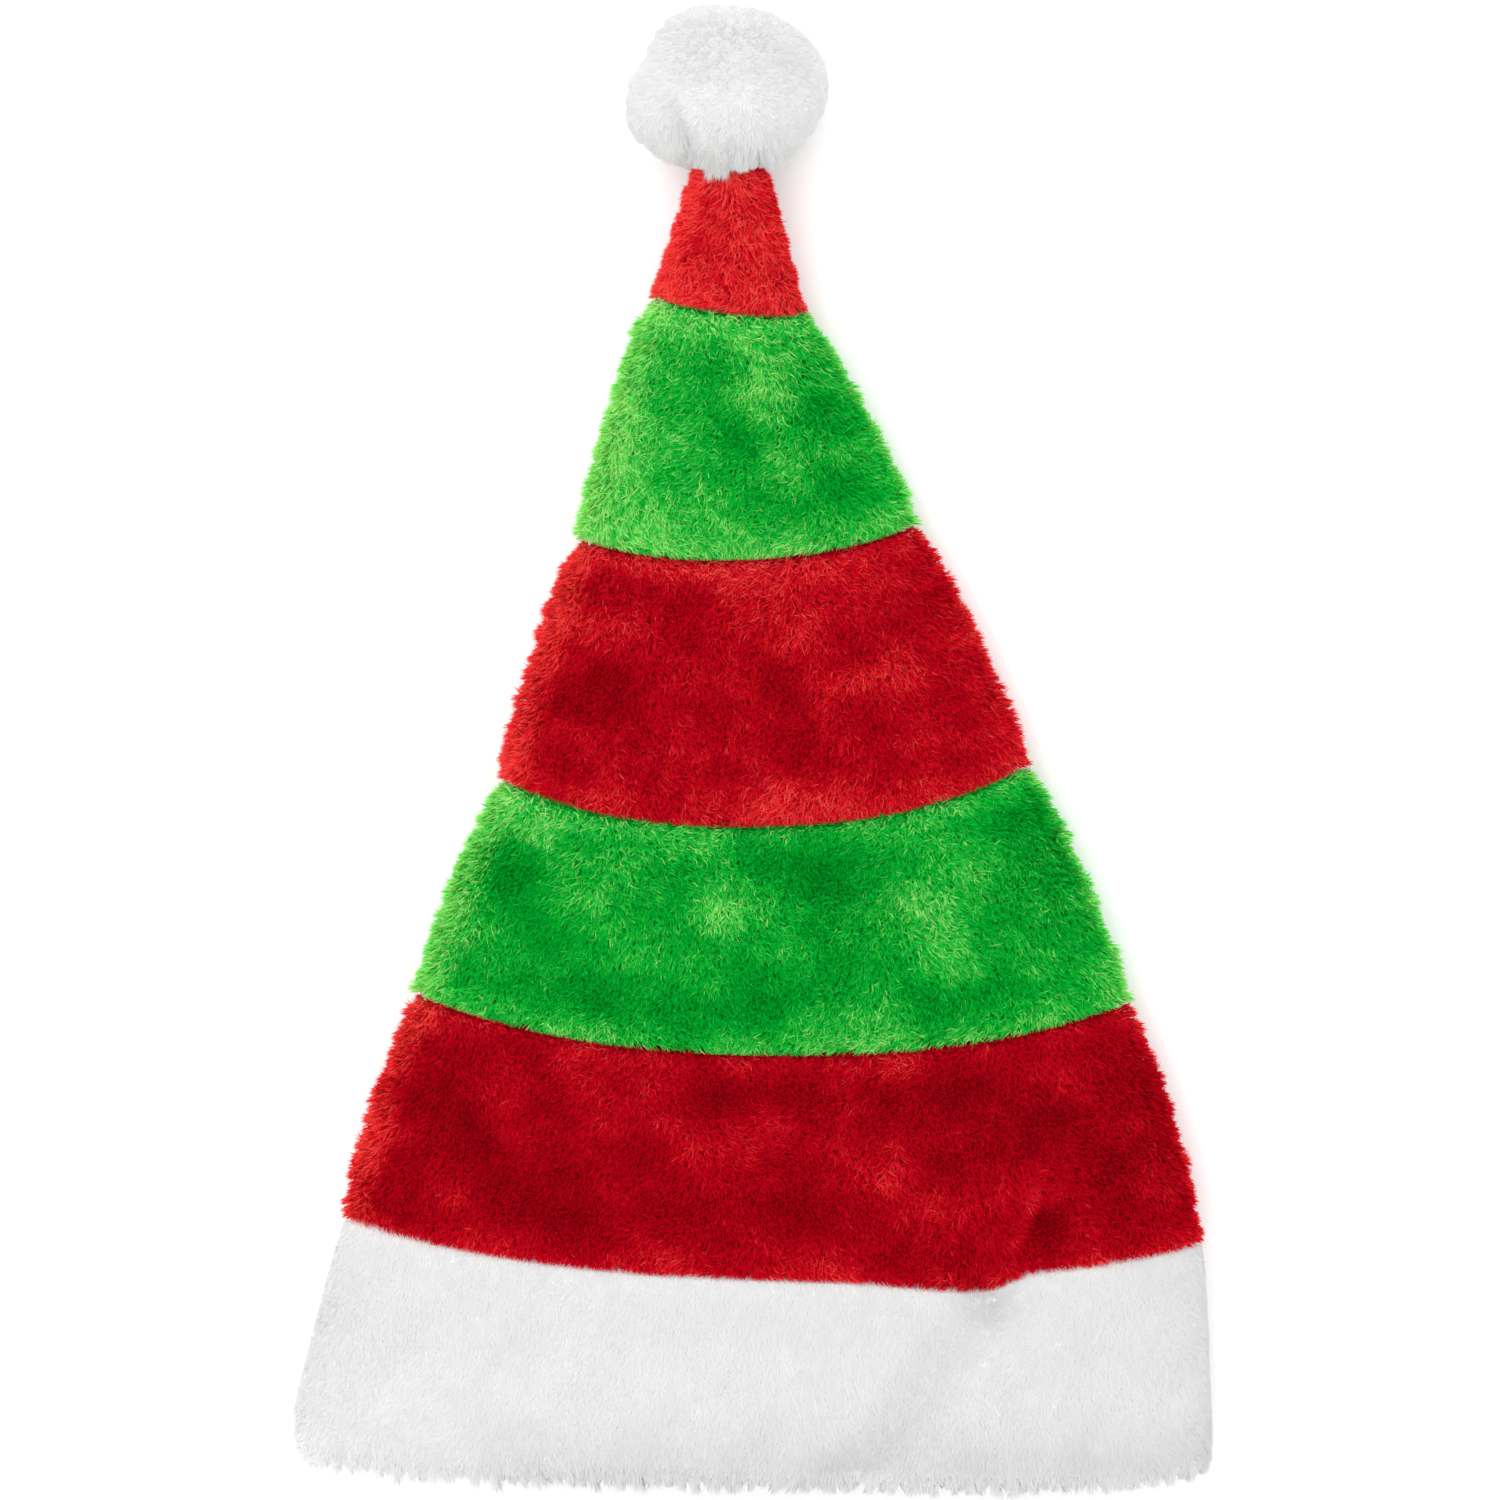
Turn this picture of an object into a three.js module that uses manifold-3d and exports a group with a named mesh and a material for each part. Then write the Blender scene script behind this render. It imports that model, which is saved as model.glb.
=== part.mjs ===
// A pointed plush hat in red and green stripes, with a folded white cuff and a white pompom.
// It lies empty and flat: mouth towards -Y, point towards +Y, underside on the plane z = 0.
// Sizes are in millimetres and +Z is up. The origin is under the middle of the hat.
import * as THREE from "three";
import Module from "manifold-3d";

const wasm = await Module();
wasm.setup();

// Rows of a table as objects, with the table's column names as keys.
function named(columns, rows) {
  return rows.map((row) => Object.fromEntries(columns.map((column, i) => [column, row[i]])));
}

// Lines sewn round the hat, from the mouth to the neck. Seen from above, each has its middle and
// half width across the hat, the place of its two ends along the hat, the tilt from left end to right
// end, the sag of the line towards the mouth and the power of that bow. pleat is how far the fold of
// the cuff pulls the line down. top and base are the heights of the plush above the table.
const LINE_COLUMNS = ["line", "middle", "half", "ends", "tilt", "sag", "bow", "pleat", "top", "base"];
const LINE_ROWS = named(LINE_COLUMNS, [
  ["rim", 0.0, 144.6, -213.5, -4.9, 9.6, 8.0, 0.0, 45, 0],
  ["cuffSeam", 6.8, 135.0, -149.8, -3.8, 13.4, 2.4, 4.6, 43, 0],
  ["lowSeam", 6.5, 112.8, -76.9, -1.4, 17.2, 2.4, 0.0, 39, 0],
  ["midSeam", 4.2, 84.0, -6.4, 2.2, 17.2, 2.4, 0.0, 35, 0],
  ["highSeam", -1.4, 54.4, 68.6, 2.2, 9.4, 2.4, 0.0, 32, 0],
  ["tipSeam", -7.0, 25.8, 139.0, -2.9, 3.4, 2.4, 0.0, 29, 0],
  ["neck", -7.2, 10.6, 186.5, 0.0, 0.0, 2.4, 0.0, 35, 12],
]);

// Tubes of plush between two lines, with the rows of locks along each, the swelling between its
// seams, the height of its locks and its walls of backing and pile: over is the top and side wall,
// under is the wall that is pressed on the table.
const RED = 0xa80818;
const GREEN = 0x12a12e;
const WHITE = 0xeeeeee;
const TUBE_COLUMNS = ["name", "from", "to", "colour", "rows", "puff", "lock", "over", "under"];
const TUBES = named(TUBE_COLUMNS, [
  ["cuff", "rim", "cuffSeam", WHITE, 6, 0.6, 2.6, 13, 9],
  ["red_low_stripe", "cuffSeam", "lowSeam", RED, 7, 2.8, 1.8, 9, 6],
  ["green_low_stripe", "lowSeam", "midSeam", GREEN, 7, 2.8, 1.8, 9, 6],
  ["red_mid_stripe", "midSeam", "highSeam", RED, 7, 2.8, 1.8, 9, 6],
  ["green_high_stripe", "highSeam", "tipSeam", GREEN, 7, 2.8, 1.7, 9, 6],
  ["red_tip", "tipSeam", "neck", RED, 5, 0.8, 1.2, 8, 6],
]);

// Creases and hollows pressed into the top layer: a line from one point to another seen from above,
// how far it reaches to each side and how deep it is.
const CREASES = named(["fromX", "fromY", "toX", "toY", "reach", "depth"], [
  [73, -168, 22, -231, 9, 4.0],
  [75, -163, 92, -136, 10, 4.5],
  [76, -106, 103, -108, 13, 3.0],
  [-97, -115, -47, -134, 16, 3.0],
  [-69, -62, -35, -73, 14, 3.0],
  [24, -38, 46, -40, 12, 2.5],
  [-58, 18, -34, 0, 16, 2.5],
  [36, 102, 42, 79, 11, 2.5],
]);

const SEAM_GAP = 0.3; // between one piece and the next
const PLEAT = { x: 73, leftReach: 27, rightReach: 9 }; // where the cuff's fold pulls the seam
const FOLD_SHARE = 0.36; // height of the side fold as a share of the section
const FOLD_RADIUS = 22; // width of the rounding at the side folds underneath
const LEAST_FLAT = 0.3; // least share of a section's half width that lies flat
const DOME_POWER = 2.2; // how square the top layer is across
const SIDE_POWER = 7; // odd: keeps a section's swelling across the hat close to its side folds
const TOP_COLUMNS = 56;
const UNDER_COLUMNS = 16;
const TIP_TOP_COLUMNS = 28;
const TIP_UNDER_COLUMNS = 8;
const LOCK_LEAN = 4.0; // how far the tips of the locks hang towards the mouth
const LOCK_FADE = 8; // even: how close to the side folds the locks keep their height
const HEM_REACH = 6.5; // roundness of the cuff's folded hem
const HEM_STEPS = 4;
const HEM_LOCK = 2.4; // locks that stick out of the hem
const TIP_CAP = 9; // solid plush at the closed end of the tip
const TIP_END_WALL = { over: 7, under: 6 }; // walls where the tip's hollow ends
const NECK_ROOM = { start: 0.4, grow: 2.2 }; // room in the pompom: its start along the tip, and its swelling

// The pompom: its outer form with half sizes across, along and up, and its head and locks as shares
// of that form. A lock is turned from its profile: distance from the middle and half width.
const POMPOM = { x: -7.0, y: 204.9, z: 25.0, halfX: 31.2, halfY: 26.8, halfZ: 26.2 };
const POMPOM_HEAD = 0.7;
const HEAD_COLUMNS = 12;
const HEAD_ROWS = 8;
const POMPOM_LOCKS = 62;
const LOCK_SIDES = 5;
const LOCK_PROFILE = named(["along", "width"], [
  [0.4, 0.0],
  [0.58, 0.23],
  [0.87, 0.16],
  [1.02, 0.0],
]);
const LOCK_UNEVEN = 0.05; // how far one lock outreaches the next
const LOCK_BEAT = 2.4; // how quickly that changes from lock to lock
const LOBE = { x: -0.86, y: -0.51, reach: 0.1 }; // side on which the pompom is fuller
const TABLE_CUT = 60; // side of the block that flattens the pompom on the table

const { lerp, clamp } = THREE.MathUtils;

const LINES = Object.fromEntries(LINE_ROWS.map(({ line, ...sizes }) => [line, sizes]));

// Values of a line part of the way from one seam to the next.
function lineBetween(from, to, share) {
  const line = {};
  for (const key of Object.keys(from)) line[key] = lerp(from[key], to[key], share);
  return line;
}

// Place along the hat of a sewn line, at a place x across it.
function alongAt(line, x) {
  const across = clamp((x - line.middle) / line.half, -1, 1);
  const bow = line.sag * (1 - Math.abs(across) ** line.bow);
  const reach = x < PLEAT.x ? PLEAT.leftReach : PLEAT.rightReach;
  const pleat = line.pleat * Math.exp(-(((x - PLEAT.x) / reach) ** 2));
  return line.ends + line.tilt * across - bow - pleat;
}

// Depth of the creases and hollows at a point seen from above.
function creaseAt(x, y) {
  let depth = 0;
  for (const crease of CREASES) {
    const start = new THREE.Vector2(crease.fromX, crease.fromY);
    const run = new THREE.Vector2(crease.toX, crease.toY).sub(start);
    const offset = new THREE.Vector2(x, y).sub(start);
    const share = clamp(offset.dot(run) / run.lengthSq(), 0, 1);
    const distance = offset.addScaledVector(run, -share).length();
    depth += crease.depth * Math.exp(-((distance / crease.reach) ** 2));
  }
  return depth;
}

// Point of a flattened section: across runs from -1 to 1, on the top layer or on the under one.
// grow swells the section, and wall takes its inner face instead of its outer one.
function sectionPoint(line, across, onTop, grow, wall, lean) {
  const swell = grow - wall.over;
  const low = line.base + wall.under;
  const high = line.top + swell;
  const fold = lerp(low, high, FOLD_SHARE);
  const x = line.middle + line.half * across + swell * across ** SIDE_POWER;
  const y = alongAt(line, x) - lean;
  if (onTop) {
    const dome = Math.sqrt(1 - Math.abs(across) ** DOME_POWER);
    return new THREE.Vector3(x, y, fold + (high - fold) * dome - creaseAt(x, y) * dome);
  }
  const flat = Math.max(LEAST_FLAT, 1 - FOLD_RADIUS / (line.half + swell));
  const edge = Math.max(0, (Math.abs(across) - flat) / (1 - flat));
  return new THREE.Vector3(x, y, low + (fold - low) * (1 - Math.sqrt(1 - edge * edge)));
}

// Columns round a section: across the top layer from right to left, then back underneath.
function columnsRound(topCount, underCount) {
  const columns = [];
  for (let i = 0; i < topCount; i++) {
    columns.push({ across: Math.cos((Math.PI * i) / topCount), onTop: true });
  }
  for (let i = 0; i < underCount; i++) {
    columns.push({ across: -Math.cos((Math.PI * i) / underCount), onTop: false });
  }
  return columns;
}

// One ring of points round a line. lock raises every other point into the tip of a lock, and the
// locks of one row stand between those of the next. They fade out at the side folds and underneath.
function ringAt(line, columns, grow, wall, lock, row) {
  return columns.map(({ across, onTop }, column) => {
    const isTip = (row + column) % 2 === 0;
    const fade = onTop && isTip ? Math.sqrt(1 - across ** LOCK_FADE) : 0;
    const lean = lock > 0 ? LOCK_LEAN * fade : 0;
    return sectionPoint(line, across, onTop, grow + lock * fade, wall, lean);
  });
}

// A surface through rings of equal count. A ring of one point closes an end. Each square is split
// along the diagonal between the roots of its locks, so that every tip stands out by itself.
function surfaceThrough(rings, closed) {
  const positions = [];
  const corner = (ring, column) => ring[column % ring.length];
  const addFace = (a, b, c) => {
    if (a === b || b === c || c === a) return;
    for (const point of [a, b, c]) positions.push(point.x, point.y, point.z);
  };
  const last = closed ? rings.length : rings.length - 1;
  for (let i = 0; i < last; i++) {
    const ring = rings[i];
    const next = rings[(i + 1) % rings.length];
    const count = Math.max(ring.length, next.length);
    for (let j = 0; j < count; j++) {
      const [near, nearLeft] = [corner(ring, j), corner(ring, j + 1)];
      const [far, farLeft] = [corner(next, j), corner(next, j + 1)];
      if ((i + j) % 2 === 0) {
        addFace(near, far, nearLeft);
        addFace(nearLeft, far, farLeft);
      } else {
        addFace(near, farLeft, nearLeft);
        addFace(near, far, farLeft);
      }
    }
  }
  const geometry = new THREE.BufferGeometry();
  geometry.setAttribute("position", new THREE.Float32BufferAttribute(positions, 3));
  geometry.computeVertexNormals();
  return geometry;
}

const NO_WALL = { over: 0, under: 0 };

// Rings of a tube's outer face, from its mouth end to its far end.
function outerRings(tube, from, to, columns) {
  const rings = [];
  for (let row = 0; row <= tube.rows; row++) {
    const share = row / tube.rows;
    const isEnd = row === 0 || row === tube.rows;
    const grow = tube.puff * Math.sqrt(Math.sin(Math.PI * share));
    const lock = isEnd ? 0 : tube.lock;
    rings.push(ringAt(lineBetween(from, to, share), columns, grow, NO_WALL, lock, row));
  }
  return rings;
}

// Rings of the cuff's rounded hem, from its inner face round to its outer face.
function hemRings(line, columns, wall) {
  const rings = [];
  const outer = ringAt(line, columns, 0, NO_WALL, 0, 0);
  const inner = ringAt(line, columns, 0, wall, 0, 0);
  for (let step = 1; step < HEM_STEPS; step++) {
    const turn = (Math.PI * step) / HEM_STEPS;
    const blend = (1 - Math.cos(turn)) / 2;
    rings.push(
      inner.map((point, column) => {
        const lock = (step + column) % 2 === 0 ? HEM_LOCK : 0;
        const hem = point.clone().lerp(outer[column], blend);
        hem.y -= (HEM_REACH + lock) * Math.sin(turn);
        return hem;
      }),
    );
  }
  return rings;
}

// The two lines of a tube, each moved half a gap away from its neighbour. The rim has no neighbour.
function tubeEnds(tube) {
  const [start, end] = [LINES[tube.from], LINES[tube.to]];
  const trim = SEAM_GAP / 2 / (end.ends - start.ends);
  const from = tube.from === "rim" ? start : lineBetween(start, end, trim);
  const to = tube.to === "neck" ? end : lineBetween(start, end, 1 - trim);
  return { from, to };
}

// One tube of plush as a closed wall, open at both ends.
function tubeGeometry(tube) {
  const { from, to } = tubeEnds(tube);
  const columns = columnsRound(TOP_COLUMNS, UNDER_COLUMNS);
  const outer = outerRings(tube, from, to, columns);
  const inner = [ringAt(to, columns, 0, tube, 0, 0), ringAt(from, columns, 0, tube, 0, 0)];
  const hem = tube.from === "rim" ? hemRings(from, columns, tube) : [];
  return surfaceThrough([...outer, ...inner, ...hem], true);
}

// Middle of a ring, as a ring of one point.
function middleOf(ring) {
  const sum = ring.reduce((total, point) => total.add(point), new THREE.Vector3());
  return [sum.divideScalar(ring.length)];
}

// The tip: a tube that is closed at the neck, with the hollow ending short of it.
function tipGeometry(tube) {
  const { from, to } = tubeEnds(tube);
  const columns = columnsRound(TIP_TOP_COLUMNS, TIP_UNDER_COLUMNS);
  const outer = outerRings(tube, from, to, columns);
  const hollowEnd = lineBetween(from, to, 1 - TIP_CAP / (to.ends - from.ends));
  const innerEnd = ringAt(hollowEnd, columns, 0, TIP_END_WALL, 0, 0);
  const innerStart = ringAt(from, columns, 0, tube, 0, 0);
  const neckMiddle = middleOf(outer[tube.rows]);
  return surfaceThrough([middleOf(innerEnd), innerEnd, innerStart, ...outer, neckMiddle], false);
}

// A geometry as a closed solid for joining and cutting, and back again.
function solidOf(geometry) {
  const flat = geometry.index ? geometry.toNonIndexed() : geometry;
  const places = flat.getAttribute("position");
  const found = new Map();
  const vertProperties = [];
  const corners = [];
  for (let i = 0; i < places.count; i++) {
    const point = [places.getX(i), places.getY(i), places.getZ(i)];
    const key = point.map((value) => Math.round(value * 1e4)).join();
    if (!found.has(key)) {
      found.set(key, vertProperties.length / 3);
      vertProperties.push(...point);
    }
    corners.push(found.get(key));
  }
  const triVerts = [];
  for (let i = 0; i < corners.length; i += 3) {
    const [a, b, c] = corners.slice(i, i + 3);
    if (a !== b && b !== c && c !== a) triVerts.push(a, b, c);
  }
  return new wasm.Manifold(
    new wasm.Mesh({
      numProp: 3,
      vertProperties: new Float32Array(vertProperties),
      triVerts: new Uint32Array(triVerts),
    }),
  );
}

function geometryOf(solid) {
  const mesh = solid.getMesh();
  const geometry = new THREE.BufferGeometry();
  geometry.setAttribute("position", new THREE.BufferAttribute(mesh.vertProperties, 3));
  geometry.setIndex(new THREE.BufferAttribute(mesh.triVerts, 1));
  const faceted = geometry.toNonIndexed();
  faceted.computeVertexNormals();
  return faceted;
}

// Direction of one lock of the pompom: the locks are spread evenly round it.
function lockDirection(index) {
  const goldenTurn = Math.PI * (3 - Math.sqrt(5));
  const height = 1 - (2 * (index + 0.5)) / POMPOM_LOCKS;
  const round = Math.sqrt(1 - height * height);
  const angle = goldenTurn * index;
  return new THREE.Vector3(Math.cos(angle) * round, Math.sin(angle) * round, height);
}

// One lock of the pompom, pointing along its direction.
function lockGeometry(index) {
  const direction = lockDirection(index);
  const towardsLobe = Math.max(0, direction.x * LOBE.x + direction.y * LOBE.y);
  const reach = 1 + LOCK_UNEVEN * Math.sin(index * LOCK_BEAT) + LOBE.reach * towardsLobe ** 3;
  const profile = LOCK_PROFILE.map(({ along, width }) => new THREE.Vector2(width, along * reach));
  const lock = new THREE.LatheGeometry(profile, LOCK_SIDES, index);
  const turn = new THREE.Quaternion().setFromUnitVectors(new THREE.Vector3(0, 1, 0), direction);
  return lock.applyQuaternion(turn);
}

// The pompom: a head with pointed locks fused to it, flattened on the table and opened for the neck.
function pompomGeometry() {
  let pompom = solidOf(new THREE.SphereGeometry(POMPOM_HEAD, HEAD_COLUMNS, HEAD_ROWS));
  for (let i = 0; i < POMPOM_LOCKS; i++) pompom = pompom.add(solidOf(lockGeometry(i)));
  const round = geometryOf(pompom);
  round.scale(POMPOM.halfX, POMPOM.halfY, POMPOM.halfZ);
  round.translate(POMPOM.x, POMPOM.y, POMPOM.z);
  const table = new THREE.BoxGeometry(2 * TABLE_CUT, 2 * TABLE_CUT, TABLE_CUT);
  table.translate(POMPOM.x, POMPOM.y, -TABLE_CUT / 2);
  return geometryOf(solidOf(round).subtract(solidOf(table)).subtract(solidOf(neckRoom())));
}

// Room that the neck of the tip takes inside the pompom, with a gap round it.
function neckRoom() {
  const columns = columnsRound(TIP_TOP_COLUMNS, TIP_UNDER_COLUMNS);
  const near = lineBetween(LINES.tipSeam, LINES.neck, NECK_ROOM.start);
  const far = { ...LINES.neck, ends: LINES.neck.ends + SEAM_GAP };
  const rings = [near, far].map((line) => {
    const lower = { ...line, base: line.base - SEAM_GAP };
    return ringAt(lower, columns, NECK_ROOM.grow, NO_WALL, 0, 0);
  });
  return surfaceThrough([middleOf(rings[0]), ...rings, middleOf(rings[1])], false);
}

const hat = new THREE.Group();
hat.name = "santa_hat";

function addPiece(name, geometry, colour) {
  const material = new THREE.MeshStandardMaterial({ color: colour, roughness: 0.95, metalness: 0 });
  const piece = new THREE.Mesh(geometry, material);
  piece.name = name;
  hat.add(piece);
}

for (const tube of TUBES) {
  const geometry = tube.to === "neck" ? tipGeometry(tube) : tubeGeometry(tube);
  addPiece(tube.name, geometry, tube.colour);
}
addPiece("pompom", pompomGeometry(), WHITE);

export default hat;
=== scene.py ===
"""Looks of the plush hat: backing cloth and standing pile for each sewn tube, and the pompom.

Sizes are millimetres in the frame of the solids unless a name says otherwise; meshes are in metres.
"""

import math

import bpy
import numpy as np
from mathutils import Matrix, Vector


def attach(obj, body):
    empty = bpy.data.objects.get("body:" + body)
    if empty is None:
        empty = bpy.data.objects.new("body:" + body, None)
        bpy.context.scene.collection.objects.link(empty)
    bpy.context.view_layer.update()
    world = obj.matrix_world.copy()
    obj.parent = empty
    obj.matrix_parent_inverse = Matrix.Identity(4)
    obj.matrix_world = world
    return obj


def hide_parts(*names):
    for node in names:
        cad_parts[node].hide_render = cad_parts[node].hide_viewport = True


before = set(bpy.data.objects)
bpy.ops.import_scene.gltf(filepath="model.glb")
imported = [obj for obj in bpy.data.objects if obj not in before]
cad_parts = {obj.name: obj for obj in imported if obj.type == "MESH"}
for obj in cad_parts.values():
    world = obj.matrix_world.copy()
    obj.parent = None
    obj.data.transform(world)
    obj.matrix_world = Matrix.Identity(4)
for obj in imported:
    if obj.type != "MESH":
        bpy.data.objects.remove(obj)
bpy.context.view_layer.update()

MM = 0.001

# Lines sewn round the hat, as in the solids: middle and half width across, place of the two ends
# along the hat, tilt, sag towards the mouth, power of that bow, pull of the pleat, and the heights
# of the top layer and of the underside.
LINE_COLUMNS = ("middle", "half", "ends", "tilt", "sag", "bow", "pleat", "top", "base")
LINES = {
    "rim": (0.0, 144.6, -213.5, -4.9, 9.6, 8.0, 0.0, 45.0, 0.0),
    "cuff_seam": (6.8, 135.0, -149.8, -3.8, 13.4, 2.4, 4.6, 43.0, 0.0),
    "low_seam": (6.5, 112.8, -76.9, -1.4, 17.2, 2.4, 0.0, 39.0, 0.0),
    "mid_seam": (4.2, 84.0, -6.4, 2.2, 17.2, 2.4, 0.0, 35.0, 0.0),
    "high_seam": (-1.4, 54.4, 68.6, 2.2, 9.4, 2.4, 0.0, 32.0, 0.0),
    "tip_seam": (-7.0, 25.8, 139.0, -2.9, 3.4, 2.4, 0.0, 29.0, 0.0),
    "neck": (-6.7, 9.6, 186.5, 0.0, 0.0, 2.4, 0.0, 35.0, 12.0),
}

# Creases and hollows of the top layer: from, to, reach to each side and depth.
CREASE_COLUMNS = ("from_x", "from_y", "to_x", "to_y", "reach", "depth")
CREASES = (
    (73, -168, 22, -231, 9, 4.0),
    (75, -163, 92, -136, 10, 4.5),
    (76, -106, 103, -108, 13, 3.0),
    (-97, -115, -47, -134, 16, 3.0),
    (-69, -62, -35, -73, 14, 3.0),
    (24, -38, 46, -40, 12, 2.5),
    (-58, 18, -34, 0, 16, 2.5),
    (36, 102, 42, 79, 11, 2.5),
)

PLEAT = {"x": 73.0, "left": 27.0, "right": 9.0}
FOLD_SHARE = 0.36
FOLD_RADIUS = 22.0
LEAST_FLAT = 0.3
DOME_POWER = 2.2
SIDE_POWER = 7
BACKING = 2.0  # thickness of the cloth under the pile
DIP = 3.0  # how far a tube goes down where the next one hangs over it
ROLL = 0.9  # how far the pile turns along the seam at the lower edge of a stripe

# Patches where the pile is brushed: middle, reach across and along, and how far it is laid over.
# Laid-over pile shows its sides and looks light, upright pile shows its depth and looks dark.
# The tint paints this light and shade as well: painted light on laid pile, painted shade on upright pile.
PATCH_COLUMNS = ("x", "y", "reach_x", "reach_y", "laid")
PATCHES = (
    # green_high_stripe
    (-39, 94, 15, 34, 0.45),
    (3, 117, 8, 9, 0.5),
    (-10, 121, 6, 8, -0.35),
    (-23, 109, 9, 8, -0.25),
    (21, 108, 8, 12, -0.25),
    (32, 94, 8, 16, -0.25),
    (25, 83, 10, 10, -0.3),
    (38, 84, 8, 12, -0.15),
    (-4, 98, 12, 10, -0.3),
    (-8, 79, 14, 8, -0.25),
    # red_mid_stripe
    (1, 47, 14, 9, 0.5),
    (15, 35, 10, 6, 0.55),
    (37, 25, 12, 5, 0.4),
    (-27, 57, 16, 4, 0.35),
    (-21, 45, 9, 8, -0.4),
    (-39, 21, 14, 10, -0.45),
    (-51, 12, 12, 14, -0.4),
    (12, 21, 8, 7, -0.45),
    (-5, 9, 20, 10, -0.25),
    (12, -15, 25, 5, 0.3),
    # green_low_stripe
    (-10, -48, 7, 12, 0.6),
    (57, -51, 17, 17, 0.6),
    (-47, -47, 9, 10, 0.4),
    (-60, -21, 16, 6, 0.5),
    (-70, -35, 12, 10, -0.5),
    (24, -33, 14, 14, -0.55),
    (-62, -72, 22, 10, -0.5),
    (-11, -81, 22, 8, -0.6),
    (67, -74, 16, 9, -0.5),
    (79, -35, 8, 14, -0.4),
    (15, -65, 18, 14, -0.25),
    # red_low_stripe
    (-98, -114, 12, 14, -0.45),
    (-64, -135, 22, 10, -0.5),
    (-55, -144, 14, 7, -0.5),
    (-43, -117, 12, 12, 0.3),
    (-8, -107, 16, 6, -0.4),
    (-4, -115, 14, 8, 0.3),
    (19, -110, 8, 8, -0.35),
    (31, -103, 6, 12, 0.5),
    (44, -126, 7, 10, 0.7),
    (60, -139, 9, 8, 0.45),
    (63, -105, 14, 9, -0.7),
    (92, -114, 14, 9, -0.5),
    (115, -123, 9, 10, -0.3),
    (109, -127, 9, 6, -0.4),
    (10, -140, 12, 9, -0.5),
    (49, -151, 9, 6, -0.5),
    (81, -149, 4, 8, 0.4),
    (92, -147, 9, 7, -0.85),
    (84, -139, 2, 4, 1.0),
)

# Tubes of plush: lines, swelling, depth of the pile above and underneath, number of strands, how
# far the pile hangs over the lower seam, and how far all of it is laid over.
TUBE_COLUMNS = ("node", "slot", "start", "end", "puff", "pile", "under", "strands", "hang", "laid")
CUFF = ("cuff", "white_plush", "rim", "cuff_seam", 0.6, 1.8, 1.6, 154000, 0.0, 0.0)
STRIPES = (
    ("red_low_stripe", "red_plush", "cuff_seam", "low_seam", 2.8, 4.4, 3.0, 94000, 2.0, -0.12),
    ("green_low_stripe", "green_plush", "low_seam", "mid_seam", 2.8, 4.4, 3.0, 82000, 2.0, 0.1),
    ("red_mid_stripe", "red_plush", "mid_seam", "high_seam", 2.8, 4.4, 3.0, 68000, 2.0, 0.16),
    ("green_high_stripe", "green_plush", "high_seam", "tip_seam", 2.8, 4.4, 3.0, 46000, 2.0, 0.40),
    ("red_tip", "red_plush", "tip_seam", "neck", -0.8, 4.2, 3.0, 18000, 2.0, 0.85),
)

# Tufts: their size and how far the tips of their strands are drawn together.
STRIPE_TUFT, STRIPE_DRAW = 1.6, 0.25
SIDE_TUFT, SIDE_DRAW = 2.2, 0.7
CUFF_TUFT, CUFF_DRAW = 3.2, 0.12
HEM_TUFT, HEM_DRAW = 3.8, 0.8
TALL, HEM_TALL = 4.0, 2.4  # height of the tufts at the outline, as a multiple of their width
SIDE_TEETH, HEM_TEETH, POMPOM_TEETH = 0.14, 0.28, 0.3  # how uneven the length of the pile is there
TOOTH_SIZE = 2 * SIDE_TUFT

# The fold at the rim and the lining.
HEM_STRANDS, HEM_PILE = 32000, 3.6
HEM_START, HEM_REACH = 3.5, 5.0  # where the fold starts, and how far it stands out
HEM_TILT, HEM_CORNER, CORNER_POWER = -0.018, 4.5, 10  # more to the left, and more at both corners
CORNER_SQUARE = 0.5  # how much less round the fold is at the corners
LINING_STRANDS, LINING_PILE, LINING_DEPTH = 9000, 2.0, 11.5
LINING_GAP, LINING_SHARES = 0.02, (0.2, 0.6)  # places of the rings of the inner layer
CUFF_BACKING, UNDER_STEP = 1.2, 1.0  # thickness of the cuff's cloth on top and underneath

# Rings of the cloth: how many, the gap left at a seam as a share, and places round them.
STRIPE_RINGS, NECK_RINGS, CUFF_RINGS, HEM_RINGS, POMPOM_RINGS = 14, 3, 22, 11, 24
MARGIN = 0.004
AROUND = np.linspace(0, 2, 112, endpoint=False)
FINE = np.linspace(0, 2, 200, endpoint=False)

# Seeds of the random draws. Those of the layers of waves stand in their own tables below.
SEED = {
    "tubes": 100,
    "pompom": 200,
    "tufts": 1000,
    "pompom_tufts": 77,
    "limb_tufts": 78,
    "roll": 16,
    "side_teeth": 17,
    "hem_teeth": 19,
    "limb_teeth": 35,
    "locks": 34,
    "fur_swirls": (31, 32, 33),
}

# Uneven brushing and swirls of the pile: height, size and seed of each layer of waves.
BRUSHED = ((0.16, 34, 11), (0.10, 12, 12))
CUFF_BRUSHED = ((0.12, 24, 14), (0.08, 9, 18))
STRIPE_SWIRLS = ((0.4, 60, 15), (0.15, 20, 16))
CUFF_SWIRLS = ((0.16, 60, 25), (0.06, 20, 26))
PITCHES = (0.5, 1.5)  # spread of the pitches within a layer
ROLL_SIZE, ROLL_SHARP = 50, 2

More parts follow.
